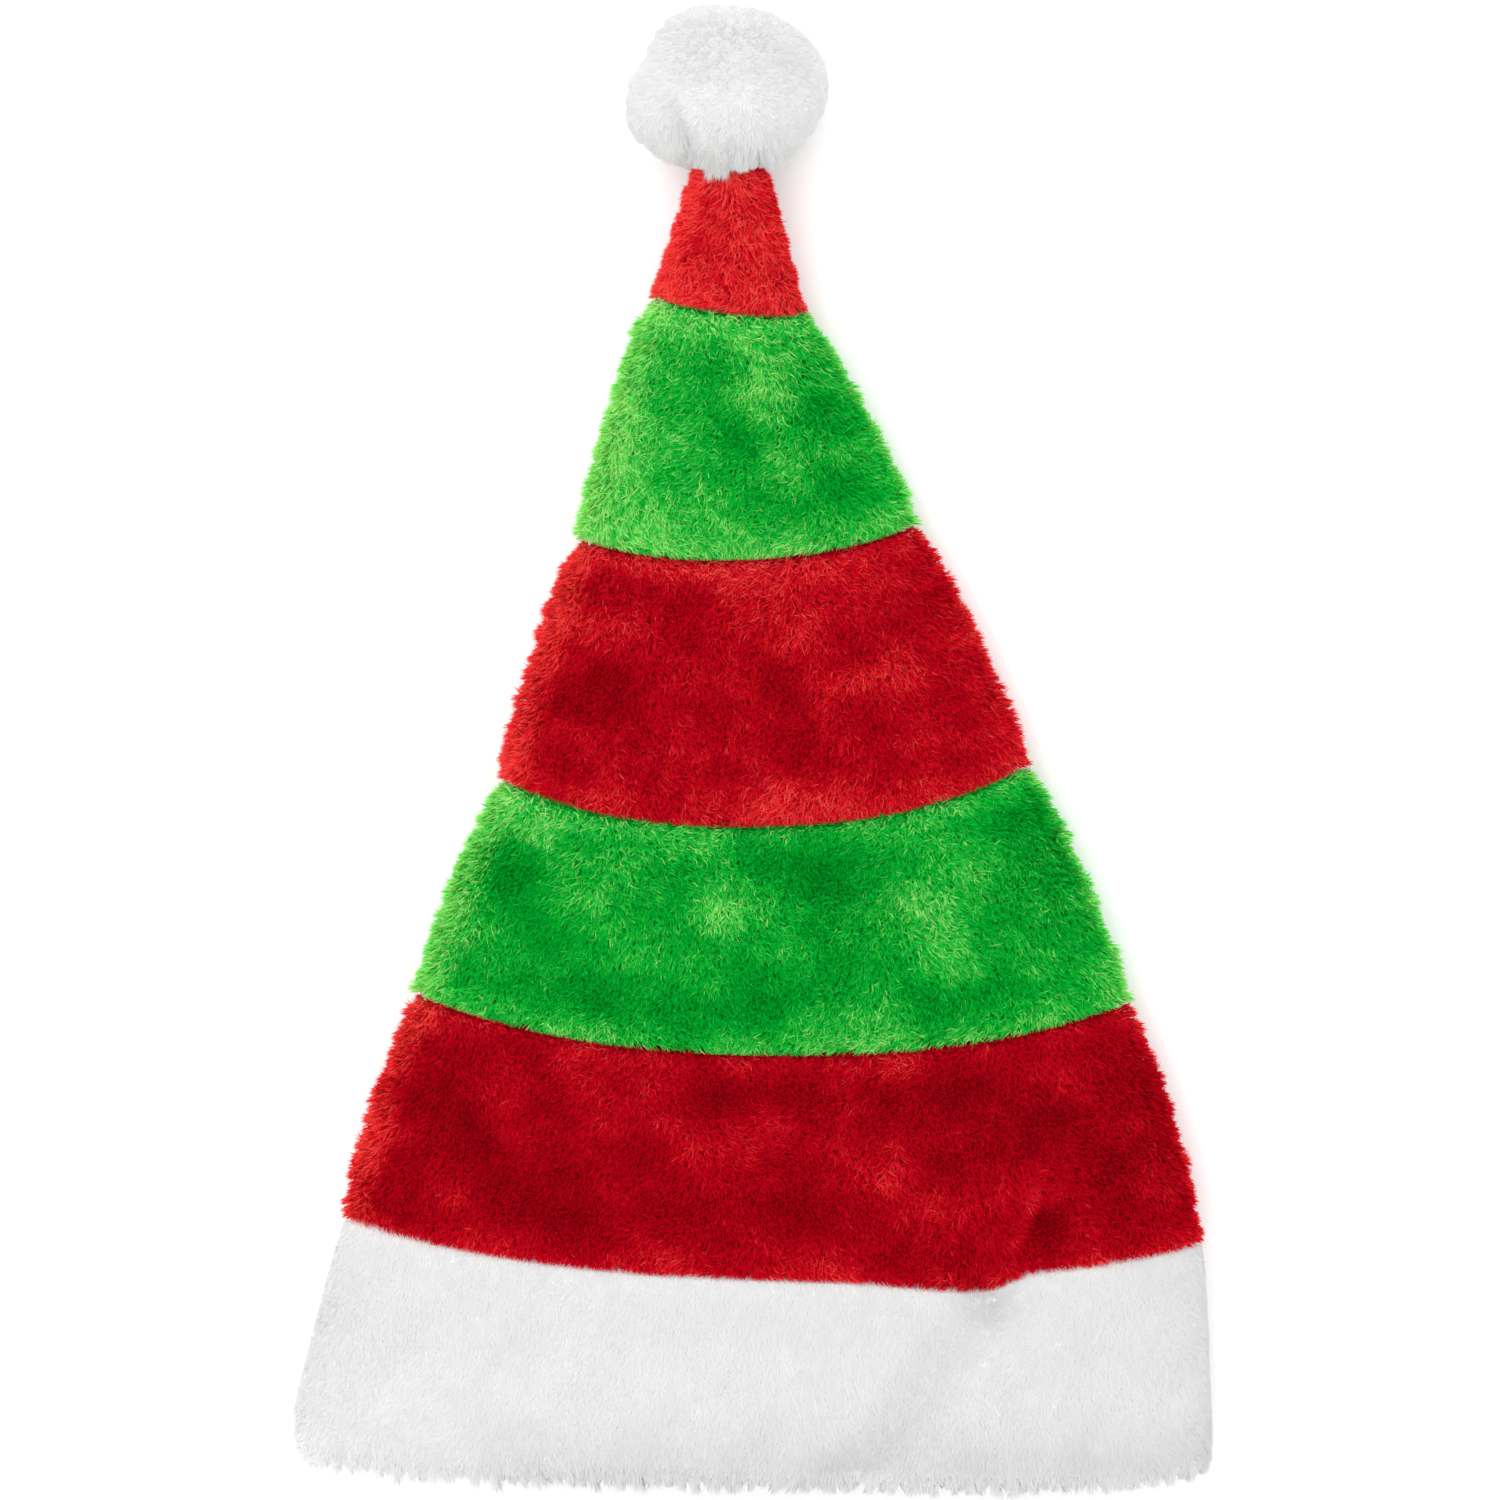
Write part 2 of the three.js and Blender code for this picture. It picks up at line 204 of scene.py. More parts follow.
# How the strands stand. Leans are degrees from upright, lengths are shares of the depth of the pile,
# a tint is a place on the ramp of the plush's shades, and least is the share of the strands that is
# left where a surface faces the floor.
STRIPE_FUR = {
    "lean": 34,
    "lean_by_laid": 14,
    "lean_limits": (18, 60),
    "edge_reach": 4,
    "edge_lean": 26,
    "under_lean": 60,
    "start_reach": 7,
    "end_reach": 5,
    "end_laid": 0.45,
    "end_lean": 10,
    "end_short": 0.3,
    "length": (0.8, 1.08),
    "width": (0.4, 0.72),
    "stray": 0.6,
    "turned": 0.6,
    "tint": 0.42,
    # painted light on laid pile, painted shade on upright pile
    "painted_light_by_laid": 0.34,
    "grain_by_laid": 0.17,
}
CUFF_FUR = {
    "least": 0.15,
    "lean": 60,
    "lean_by_laid": 5,
    "lean_limits": (52, 66),
    "hem_upright": 0.5,
    "tooth_size": 5,
    "tooth_slope": 0.2,
    "end_reach": 4,
    "end_short": 0.25,
    "length": (0.85, 1.05),
    "width": (0.32, 0.6),
    "stray": 0.35,
    "turned": 0.25,
    "drop": 0.4,
    "tint": 0.65,
    # painted light on laid pile, painted shade on upright pile
    "painted_light_by_laid": 0.06,
    # painted light on faces turned to the left
    "left_painted_light": 0.3,
    # painted shade towards the rim, faded out at the left corner
    "rim_painted_shade": 0.3,
    "rim_from": -200,
    "rim_reach": 20,
    "corner_from": -130,
    "corner_reach": 60,
    # painted shade in the creases
    "crease_painted_shade": 0.05,
    "lift": 0.7,
    "spread": 0.07,
}
POMPOM_FUR = {
    "least": 0.5,
    "front_rise": 1.4,
    "front_from": 0.3,
    "limb_reach": 0.4,
    "lock": 1.8,
    "lock_uneven": 1.2,
    "lock_size": 9,
    "most_lock": 4,
    "lean": 60,
    "lean_spread": 4,
    "lean_limits": (45, 68),
    "front_upright": 0.5,
    "limb_upright": 0.2,
    "length": (0.95, 1.2),
    "width": (0.35, 0.65),
    "swirl": 0.25,
    "swirl_size": 26,
    "stray": 0.35,
    "crown_stray": 1.4,
    "crown_power": 8,
    "turned": 0.25,
    "limb_draw": 0.4,
    "tint": 0.86,
    # painted shade in the dimple and on faces turned to the left
    "valley_painted_shade": 0.08,
    "left_painted_shade": 0.3,
    "lift": 0.1,
    "spread": 0.2,
}

# Strands: how their lower and upper half share the lean and the pull into a tuft, how much longer a
# leaning one is at most, the least that a cut leaves, the shortest run that is measured for a cut,
# where a surface counts as facing the floor, and how much denser the strands are at the sides.
BEND_NEAR, BEND_FAR = 0.6, 1.4
GATHER_NEAR, GATHER_FAR = 0.4, 0.6
MOST_LONGER = 1.6
LEAST_CUT, SMALL_RUN = 0.3, 1e-6
FACING_DOWN, DENSER_SIDES = -0.3, 0.8
TINY = 1e-9
MIX_STEPS, MIX_TURNS, MIX_SCALE = (157, 113, 271), (1.0, 1.7, 2.3), 43758.5453  # scatter tuft middles

POMPOM_MIDDLE, POMPOM_HALF = (-7.0, 204.9, 25.0), (31.2, 26.8, 26.2)
POMPOM_HEAD = 0.955
POLE, POLE_GAP = 0.03, 0.01  # shares left free at the poles by the head's rings and by the fur
POMPOM_STRANDS = 112000
POMPOM_TUFT, POMPOM_DRAW = 3.6, 0.25
POMPOM_COMB = (0.0, -0.45, -0.9)  # the fur lies from a crown at the back down to the neck
VALLEY = (-24.8, 198.0, -19.2, 184.0, 3.6, 2.8)  # a dimple, in the columns of the creases
# The pompom's lopsided outline: direction in degrees round from +x, spread to each side and height
# as a share.
SWELL_COLUMNS = ("turn", "spread", "height")
SWELLS = (
    (114.0, 16.0, 0.06),
    (156.0, 14.0, -0.07),
    (204.0, 18.0, 0.08),
    (270.0, 28.0, -0.07),
    (328.0, 22.0, -0.05),
)

# Strands by their number of corners: order in their triangles, place across and height on the map.
STRAND_SHAPES = {
    3: ([0, 1, 2], [0.015, -0.015, 0.0], [0.02, 0.02, 0.98]),
    4: ([0, 3, 1, 1, 3, 2], [0.0, 0.015, 0.0, -0.015], [0.02, 0.5, 0.98, 0.5]),
}

# Each plush: linear colours from upright pile to pile laid over, a ramp that paints shade on upright
# pile and light on laid pile and holds the random tone too, how uneven the strands are, the painted
# light strips at the left and right side as reach and strength (they lighten the tint only), how far
# the lower edge is laid (the tint paints it lighter too), the shades in the weave of the backing
# cloth, the painted shade at the roots, the share of the light that goes through a strand, and the
# colour of the cloth.
SHADE_PLACES = (0.0, 0.5, 0.75, 1.0)
PLUSH = {
    "red_plush": {
        "shades": ((0.46, 0.0, 0.008), (0.70, 0.001, 0.018), (0.84, 0.02, 0.036), (0.98, 0.11, 0.09)),
        "grain": 0.12,
        "sides": ((11.0, 1.7), (2.0, 0.8)),
        "edge": 0.42,
        "weave": (0.8, 1.1),
        "root": 0.92,
        "through": 0.45,
        "cloth": (0.6, 0.002, 0.015),
    },
    "green_plush": {
        "shades": ((0.0, 0.43, 0.03), (0.0, 0.62, 0.06), (0.07, 0.74, 0.11), (0.5, 0.92, 0.28)),
        "grain": 0.15,
        "sides": ((12.0, 1.8), (2.5, 1.3)),
        "edge": 0.6,
        "weave": (0.8, 1.1),
        "root": 0.92,
        "through": 0.45,
        "cloth": (0.01, 0.6, 0.05),
    },
    "white_plush": {
        "shades": ((0.76, 0.76, 0.76), (0.90, 0.90, 0.90), (0.94, 0.94, 0.94), (0.97, 0.97, 0.97)),
        "grain": 0.06,
        "weave": (0.98, 1.01),
        "root": 1.0,
        "through": 0.49,
        "cloth": (0.75, 0.75, 0.75),
    },
}
TINT_LIMITS = (0.03, 0.97)
# The darker root is painted shade for the depth of the pile.
PAINTED_ROOT_SHADE_END = 0.8  # height on a strand where the darker root ends
PILE_SHEEN, CLOTH_SHEEN = (0.8, 0.04), (0.9, 0.1)  # roughness and strength of the reflection
WEAVE_SCALE, WEAVE_PLACES = 900.0, (0.3, 0.7)

# Stage and camera. Sizes and places of floor and lamp are metres.
FLOOR_SIZE, FLOOR_SHADE, FLOOR_ROUGHNESS = 6.0, (0.96, 0.96, 0.96), 0.9
SKY_STRENGTH = 1.32
LAMP_SIZE, LAMP_WATTS, LAMP_PLACE = 1.6, 13.0, (-0.6, 0.3, 1.75)
LENS, SENSOR = 135.0, 36.0
FRAME_MM = 468.75  # width of the picture at the height of the hat's side folds
FRAME_MIDDLE, FOLD_HEIGHT = (-0.47, 0.47), 16.0


def line_between(start, end, share):
    """Values of the sewn line part of the way from one line to the next; share may be an array."""
    pairs = zip(LINE_COLUMNS, LINES[start], LINES[end])
    return {name: first + (last - first) * share for name, first, last in pairs}


def along_at(line, x):
    """Place along the hat of a sewn line, at a place across it."""
    across = np.clip((x - line["middle"]) / line["half"], -1, 1)
    bow = line["sag"] * (1 - np.abs(across) ** line["bow"])
    reach = np.where(x < PLEAT["x"], PLEAT["left"], PLEAT["right"])
    pleat = line["pleat"] * np.exp(-(((x - PLEAT["x"]) / reach) ** 2))
    return line["ends"] + line["tilt"] * across - bow - pleat


def furrow_at(x, y, row):
    """Depth of one crease at a place seen from above."""
    crease = dict(zip(CREASE_COLUMNS, row))
    run_x = crease["to_x"] - crease["from_x"]
    run_y = crease["to_y"] - crease["from_y"]
    off_x, off_y = x - crease["from_x"], y - crease["from_y"]
    share = np.clip((off_x * run_x + off_y * run_y) / (run_x**2 + run_y**2), 0, 1)
    away = np.hypot(off_x - share * run_x, off_y - share * run_y)
    return crease["depth"] * np.exp(-((away / crease["reach"]) ** 2))


def crease_at(x, y):
    """Depth of all the creases together at a place seen from above."""
    return sum(furrow_at(x, y, row) for row in CREASES)


def across_at(around):
    """Place across the hat, -1 to 1; around runs 0 to 1 over the top and 1 to 2 underneath."""
    around = np.mod(around, 2)
    return np.where(around < 1, np.cos(np.pi * around), -np.cos(np.pi * (around - 1)))


def section_points(line, around, swell, under):
    """Points of the hat's flattened sections."""
    across = across_at(around)
    low = line["base"] + under
    high = line["top"] + swell
    fold = low + (high - low) * FOLD_SHARE
    x = line["middle"] + line["half"] * across + swell * across**SIDE_POWER
    y = along_at(line, x)
    dome = np.sqrt(np.clip(1 - np.abs(across) ** DOME_POWER, 0, 1))
    top_z = fold + (high - fold) * dome - crease_at(x, y) * dome
    flat = np.maximum(LEAST_FLAT, 1 - FOLD_RADIUS / (line["half"] + swell))
    edge = np.clip((np.abs(across) - flat) / (1 - flat), 0, 1)
    under_z = low + (fold - low) * (1 - np.sqrt(1 - edge**2))
    return np.stack([x, y, np.where(np.mod(around, 2) < 1, top_z, under_z)], axis=-1)


def tube_surface(tube, depth, under):
    """A tube's face at a depth below the tips of its pile, as a function of (around, share)."""

    def surface(around, share):
        line = line_between(tube["start"], tube["end"], share)
        puff = tube["puff"] * np.sqrt(np.clip(np.sin(np.pi * share), 0, 1))
        dip = DIP * np.clip((share - 1) * tube["long"] / DIP, 0, 1)
        return section_points(line, around, puff - depth - dip, under + dip)

    return surface


def hem_surface(tube, outer_depth, inner_depth, outer_under, inner_under):
    """The fold at the rim: share runs from 0 at the inner layer, round the fold, to 1 outside."""

    def surface(around, share):
        line = line_between(tube["start"], tube["end"], HEM_START / tube["long"])
        inner = section_points(line, around, -inner_depth, inner_under)
        outer = section_points(line, around, -outer_depth, outer_under)
        turn = np.pi * np.asarray(share)
        points = inner + (outer - inner) * ((1 - np.cos(turn)) / 2)[..., None]
        corner = np.abs(across_at(around)) ** CORNER_POWER
        reach = HEM_REACH + HEM_TILT * points[..., 0] + HEM_CORNER * corner
        points[..., 1] -= reach * np.sin(turn).clip(0, 1) ** (1 - CORNER_SQUARE * corner)
        return points

    return surface


def pompom_surface(around, share):
    """The pompom's head; around runs 0 to 2 round it, share from its upper pole to its lower one."""
    polar, turn = np.pi * share, np.pi * around
    way = [np.sin(polar) * np.cos(turn), np.sin(polar) * np.sin(turn), np.cos(polar)]
    way = np.stack(way, -1)
    swell = np.ones_like(turn)
    for row in SWELLS:
        bump = dict(zip(SWELL_COLUMNS, row))
        off = np.mod(np.degrees(turn) - bump["turn"] + 180, 360) - 180
        swell += bump["height"] * np.exp(-((off / bump["spread"]) ** 2)) * np.sin(polar) ** 2
    points = np.array(POMPOM_MIDDLE) + way * np.array(POMPOM_HALF) * POMPOM_HEAD * swell[..., None]
    on_top = np.clip(2 * np.cos(polar), 0, 1)
    dimple = furrow_at(points[..., 0], points[..., 1], VALLEY) * on_top
    return points - way * dimple[..., None]


def frames(surface, around, share, step=1e-3):
    """Points of a surface with their outward normals and area per unit of (around, share)."""
    by_around = (surface(around + step, share) - surface(around - step, share)) / (2 * step)
    by_share = (surface(around, share + step) - surface(around, share - step)) / (2 * step)
    normal = np.cross(by_share, by_around)
    area = np.linalg.norm(normal, axis=-1)
    return surface(around, share), normal / np.maximum(area, TINY)[..., None], area


def scatter(surface, count, rng, low=0.0, high=1.0, least=0.3, cells=(240, 60)):
    """Random (around, share) places, sparser where the surface faces the floor, denser at the sides."""
    width, height = 2.0 / cells[0], (high - low) / cells[1]
    around, share = np.meshgrid(
        (np.arange(cells[0]) + 0.5) * width, low + (np.arange(cells[1]) + 0.5) * height
    )
    around, share = around.ravel(), share.ravel()
    _, normals, area = frames(surface, around, share)
    seen = np.where(normals[:, 2] > FACING_DOWN, 1.0, least)
    weight = area * seen * (1 + DENSER_SIDES * normals[:, 0] ** 2)
    picked = rng.choice(len(weight), size=count, p=weight / weight.sum())
    around = around[picked] + (rng.random(count) - 0.5) * width
    share = share[picked] + (rng.random(count) - 0.5) * height
    return around, share


def waves(x, y, size, seed, count=8):
    """Smooth uneven values about 0, with patches of about the given size."""
    rng = np.random.default_rng(seed)
    total = np.zeros_like(x)
    for _ in range(count):
        angle, phase = rng.uniform(0, 2 * np.pi, 2)
        pitch = 2 * np.pi / size * rng.uniform(*PITCHES)
        total += np.sin((x * np.cos(angle) + y * np.sin(angle)) * pitch + phase)
    return total / math.sqrt(count / 2)


def uneven(x, y, layers):
    """Waves of several sizes together; each layer is its height, size and seed."""
    return sum(height * waves(x, y, size, seed) for height, size, seed in layers)


def brushed(x, y):
    """How far the pile is brushed over at a place seen from above."""
    total = uneven(x, y, BRUSHED)
    for row in PATCHES:
        patch = dict(zip(PATCH_COLUMNS, row))
        off_x = (x - patch["x"]) / patch["reach_x"]
        off_y = (y - patch["y"]) / patch["reach_y"]
        total += patch["laid"] * np.exp(-(off_x**2) - off_y**2)
    return total


def near(distance, reach):
    """1 at a seam or side, falling off smoothly over the reach."""
    return np.exp(-((distance / reach) ** 2))


def unit(vectors):
    return vectors / np.maximum(np.linalg.norm(vectors, axis=-1), TINY)[..., None]


def dot(first, second):
    return np.sum(first * second, axis=-1)[..., None]


def tuft_offsets(points, size, seed, tall=1.0):
    """From each point to the middle of the tuft it stands in: the nearest of scattered middles.

    Tufts are as many times taller than wide as tall says.
    """
    points = points / np.array([1.0, 1.0, tall])
    cell = np.floor(points / size).astype(np.int64)
    best = np.full(len(points), np.inf)
    offset = np.zeros_like(points)
    for step in np.ndindex(3, 3, 3):
        key = cell + np.array(step) - 1
        mixed = (key @ np.array(MIX_STEPS) + seed).astype(float)
        jitter = [np.modf(np.sin(mixed * turn) * MIX_SCALE)[0] for turn in MIX_TURNS]
        middle = (key + 0.5 + 0.5 * np.stack(jitter, -1)) * size
        away = np.linalg.norm(middle - points, axis=-1)
        nearer = away < best
        best = np.where(nearer, away, best)
        offset = np.where(nearer[:, None], middle - points, offset)
    return offset


def length_to(reach, lean):
    """Length of a strand whose tip stands at a reach above its root, not much longer than that."""
    upright = np.cos(BEND_NEAR * lean) + np.cos(BEND_FAR * lean)
    return reach * np.minimum(MOST_LONGER, 2 / upright)


def strands(roots, normals, combs, length, lean, gather, fur, rng, stray=None, simple=False):
    """Corners of pointed strands: root, right, tip and left, or two at the root and the tip if simple.

    They lean along combs, turn about their length, and gather moves their tips into tufts.
    """
    count = len(roots)
    width = rng.uniform(*fur["width"], count)
    stray = fur["stray"] if stray is None else stray
    comb = unit(combs - normals * dot(combs, normals))
    comb = unit(comb + stray * rng.normal(size=(count, 3)))
    comb = unit(comb - normals * dot(comb, normals))
    near_lean, far_lean = lean[:, None] * BEND_NEAR, lean[:, None] * BEND_FAR
    first = normals * np.cos(near_lean) + comb * np.sin(near_lean)
    second = normals * np.cos(far_lean) + comb * np.sin(far_lean)
    gather = gather - normals * dot(gather, normals)
    half = 0.5 * length[:, None]
    middle = roots + first * half + gather * GATHER_NEAR
    tip = middle + second * half + gather * GATHER_FAR
    side = unit(np.cross(normals, comb))
    turn = rng.uniform(-fur["turned"], fur["turned"], count)[:, None]
    side = unit(side * np.cos(turn) + np.cross(unit(tip - roots), side) * np.sin(turn))
    side *= 0.5 * width[:, None]
    if simple:
        return np.stack([roots + side, roots - side, tip], axis=1)
    return np.stack([roots, middle + side, tip, middle - side], axis=1)


def cut_at(corners, line):
    """Shorten the strands that would pass a sewn line, so that their tips end along it."""
    roots, tips = corners[:, 0], corners[:, 2]
    room = roots[:, 1] - along_at(line, tips[:, 0])
    share = np.clip(room / np.maximum(roots[:, 1] - tips[:, 1], SMALL_RUN), LEAST_CUT, 1)
    return roots[:, None] + (corners - roots[:, None]) * share[:, None, None]


def facing(normals, lift, spread, rng):
    """Directions that shade a pile: those of the surface, turned up a little and uneven."""
    upward = np.multiply.outer(lift, np.array([0.0, 0.0, 1.0]))
    return unit(normals + upward + spread * rng.normal(size=normals.shape))


def strand_object(name, corners, tint, normals=None, floor=0.3):
    """One joined mesh of strands. Its map holds each strand's tint across and its length up.

    Given normals shade the strands like the surface they stand on.
    """
    count, sides = corners.shape[:2]
    pattern, shift, height = (np.array(values) for values in STRAND_SHAPES[sides])
    corners = corners.copy()
    corners[..., 2] = np.maximum(corners[..., 2], floor)
    mesh = bpy.data.meshes.new(name)
    mesh.vertices.add(sides * count)
    mesh.vertices.foreach_set("co", (corners * MM).astype(np.float32).ravel())
    index = (np.arange(count)[:, None] * sides + pattern).astype(np.int32)
    mesh.loops.add(index.size)
    mesh.loops.foreach_set("vertex_index", index.ravel())
    mesh.polygons.add(index.size // 3)
    mesh.polygons.foreach_set("loop_start", np.arange(0, index.size, 3, dtype=np.int32))
    mesh.update(calc_edges=True)
    across = np.clip(tint, *TINT_LIMITS)[:, None] + shift[pattern]
    up = np.broadcast_to(height[pattern], across.shape)
    uv = mesh.uv_layers.new(name="OFBake")
    uv.data.foreach_set("uv", np.stack([across, up], -1).astype(np.float32).ravel())
    mesh.shade_smooth()
    if normals is not None:
        mesh.normals_split_custom_set_from_vertices(np.repeat(normals, sides, axis=0))
    piece = bpy.data.objects.new(name, mesh)
    bpy.context.scene.collection.objects.link(piece)
    return piece


def loft_object(name, rings, closed, capped=False):
    """A smooth mesh through rings of points, joined end to end or with a fan at each end."""
    count = len(rings[0])
    points = np.concatenate(rings)
    pairs = [(i, i + 1) for i in range(len(rings) - 1)]
    if closed:
        pairs.append((len(rings) - 1, 0))
    faces = []
    for low, high in pairs:
        for k in range(count):
            after = (k + 1) % count
            faces.append((low * count + k, high * count + k, high * count + after, low * count + after))
    if capped:
        ends = np.stack([rings[0].mean(axis=0), rings[-1].mean(axis=0)])
        first, last = len(points), len(points) + 1
        points = np.concatenate([points, ends])
        start = (len(rings) - 1) * count
        for k in range(count):
            after = (k + 1) % count
            faces.append((first, k, after))
            faces.append((start + k, last, start + after))
    mesh = bpy.data.meshes.new(name)
    mesh.from_pydata((points * MM).tolist(), [], faces)
    mesh.update()
    mesh.shade_smooth()
    piece = bpy.data.objects.new(name, mesh)
    bpy.context.scene.collection.objects.link(piece)
    return piece


def new_material(name, roughness, gloss):
    """An empty material with its nodes, links and shader."""
    material = bpy.data.materials.new(name)
    material.use_nodes = True
    nodes, links = material.node_tree.nodes, material.node_tree.links
    shader = nodes["Principled BSDF"]
    shader.inputs["Roughness"].default_value = roughness
    shader.inputs["Specular IOR Level"].default_value = gloss
    return material, nodes, links, shader


def ramp(nodes, stops):
    """A colour ramp through stops of place and colour."""
    node = nodes.new("ShaderNodeValToRGB")
    elements = node.color_ramp.elements
    while len(elements) < len(stops):
        elements.new(0.5)
    for element, (place, colour) in zip(elements, stops):
        element.position = place
        element.color = (*colour, 1.0)
    return node


def pile_material(slot):
    """Strands painted lighter where laid over, with painted shade at the roots, letting light through."""
    plush = PLUSH[slot]
    material, nodes, links, shader = new_material(slot + "_pile", *PILE_SHEEN)
    place = nodes.new("ShaderNodeUVMap")
    place.uv_map = "OFBake"
    split = nodes.new("ShaderNodeSeparateXYZ")
    links.new(place.outputs["UV"], split.inputs["Vector"])
    tints = ramp(nodes, tuple(zip(SHADE_PLACES, plush["shades"])))
    links.new(split.outputs["X"], tints.inputs["Fac"])
    # painted shade at the roots of the strands
    depth = ramp(nodes, ((0.0, (plush["root"],) * 3), (PAINTED_ROOT_SHADE_END, (1.0, 1.0, 1.0))))
    links.new(split.outputs["Y"], depth.inputs["Fac"])
    mix = nodes.new("ShaderNodeMix")
    mix.data_type = "RGBA"
    mix.blend_type = "MULTIPLY"
    mix.inputs["Factor"].default_value = 1.0
    links.new(tints.outputs["Color"], mix.inputs["A"])
    links.new(depth.outputs["Color"], mix.inputs["B"])
    colour = mix.outputs["Result"]
    links.new(colour, shader.inputs["Base Color"])
    through = nodes.new("ShaderNodeBsdfTranslucent")
    links.new(colour, through.inputs["Color"])
    both = nodes.new("ShaderNodeMixShader")
    both.inputs["Fac"].default_value = plush["through"]
    links.new(shader.outputs["BSDF"], both.inputs[1])
    links.new(through.outputs["BSDF"], both.inputs[2])
    links.new(both.outputs["Shader"], nodes["Material Output"].inputs["Surface"])
    return material


def cloth_material(slot):
    """Knitted backing: small uneven shades of one colour."""
    cloth = np.array(PLUSH[slot]["cloth"])
    material, nodes, links, shader = new_material(slot + "_cloth", *CLOTH_SHEEN)
    place = nodes.new("ShaderNodeTexCoord")
    noise = nodes.new("ShaderNodeTexNoise")
    noise.inputs["Scale"].default_value = WEAVE_SCALE
    links.new(place.outputs["Object"], noise.inputs["Vector"])
    colours = [tuple(cloth * shade) for shade in PLUSH[slot]["weave"]]
    shades = ramp(nodes, tuple(zip(WEAVE_PLACES, colours)))
    links.new(noise.outputs["Fac"], shades.inputs["Fac"])
    links.new(shades.outputs["Color"], shader.inputs["Base Color"])
    return material


PILE = {slot: pile_material(slot) for slot in PLUSH}
CLOTH = {slot: cloth_material(slot) for slot in PLUSH}


def dress(piece, slot, material, node=None):
    """Give a piece its material and its place in the frame, and let it stand for a solid."""
    piece.data.materials.append(material)
    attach(piece, "root")
    if node:
        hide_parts(node)
    return piece


def ring_length(ring):
    """Length round a closed ring of points."""
    return float(np.linalg.norm(np.roll(ring, -1, axis=0) - ring, axis=1).sum())


def rings_of(surface, shares, around=AROUND):
    """Rings of points of a surface, one at each share."""
    return [surface(around, np.full_like(around, share)) for share in shares]


def declare_cloth(rings, pile):
    """Measure the length round each ring of a tube's cloth; the lengths are not used further."""
    around = [ring_length(ring) for ring in rings]


def comb_down(x, y, swirls, turn=0.0):
    """Direction of the pile: towards the mouth or turned from there, with swirls."""
    turn = turn + uneven(x, y, swirls)
    return np.stack([np.sin(turn), -np.cos(turn), np.zeros_like(turn)], -1)


def stripe_cloth(tube, outside, inner, shares):
    """Backing of one striped tube; the last one is closed at the neck."""
    name = tube["node"] + "_cloth"
    if tube["end"] == "neck":
        inside = rings_of(inner, shares[:-NECK_RINGS])
        return loft_object(name, inside[::-1] + outside, False, capped=True)
    return loft_object(name, outside + rings_of(inner, shares)[::-1], True)


def stripe_pieces(tube, rng, seed):
    """Backing and pile of one striped tube."""
    fur, plush = STRIPE_FUR, PLUSH[tube["slot"]]
    outer = tube_surface(tube, tube["pile"], tube["under"])
    inner = tube_surface(tube, tube["pile"] + BACKING, tube["under"] + BACKING)
    low, high, long = tube["low"], tube["high"], tube["long"]
    shares = np.linspace(low + MARGIN, high - MARGIN, STRIPE_RINGS)
    outside = rings_of(outer, shares)
    cloth = stripe_cloth(tube, outside, inner, shares)

    around, share = scatter(outer, tube["strands"], rng, low)
    roots, normals, _ = frames(outer, around, share)
    x, y = roots[:, 0], roots[:, 1]
    count = len(roots)
    across = across_at(around)
    to_side = (1 - np.abs(across)) * line_between(tube["start"], tube["end"], share)["half"]
    # Strips of painted light along the sides of the stripe, wider at the left.
    reach, painted_strip = np.where((across < 0)[:, None], *plush["sides"]).T
    side_painted_light = painted_strip * np.clip(1 - to_side / reach, 0, 1)
    at_edge = near(to_side, fur["edge_reach"])
    at_start = near((share - low) * long, fur["start_reach"])
    at_end = near((1 - share) * long, fur["end_reach"])
    under = np.clip(-normals[:, 2], 0, 1)

    laid = tube["laid"] + brushed(x, y) + plush["edge"] * at_start + fur["end_laid"] * at_end
    lean = fur["lean"] + fur["lean_by_laid"] * laid + fur["end_lean"] * at_end
    lean = np.clip(lean, *fur["lean_limits"])
    lean = np.radians(lean + (fur["edge_lean"] - lean) * at_edge)
    lean += (np.radians(fur["under_lean"]) - lean) * under
    length = tube["pile"] + (tube["under"] - tube["pile"]) * under
    length = length_to(length, lean) * (1 - fur["end_short"] * at_end)
    length *= rng.uniform(*fur["length"], count)
    length *= 1 + SIDE_TEETH * at_edge * waves(x, y, TOOTH_SIZE, SEED["side_teeth"])
    # The painted light strips count as laid pile for the tint only; the lean is already set.
    laid += side_painted_light

    tufts = STRIPE_DRAW * tuft_offsets(roots, STRIPE_TUFT, seed)
    points = SIDE_DRAW * tuft_offsets(roots, SIDE_TUFT, seed, TALL)
    gather = tufts * (1 - at_start)[:, None]
    gather += (points - gather) * at_edge[:, None]
    roll = ROLL * at_start * np.tanh(ROLL_SHARP * waves(x, y, ROLL_SIZE, SEED["roll"]))
    combs = comb_down(x, y, STRIPE_SWIRLS, roll)
    corners = strands(roots, normals, combs, length, lean, gather, fur, rng)
    corners = cut_at(corners, line_between(tube["start"], tube["end"], 0.0))
    # The tint paints light on laid pile and in the side strips and shade on upright pile; grain is random
    # tone.
    grain = plush["grain"] + fur["grain_by_laid"] * laid.clip(0, 1)
    tint = fur["tint"] + fur["painted_light_by_laid"] * laid + grain * rng.normal(size=count)
    pile = strand_object(tube["node"] + "_pile", corners, tint)
    declare_cloth(outside, pile)
    return cloth, pile


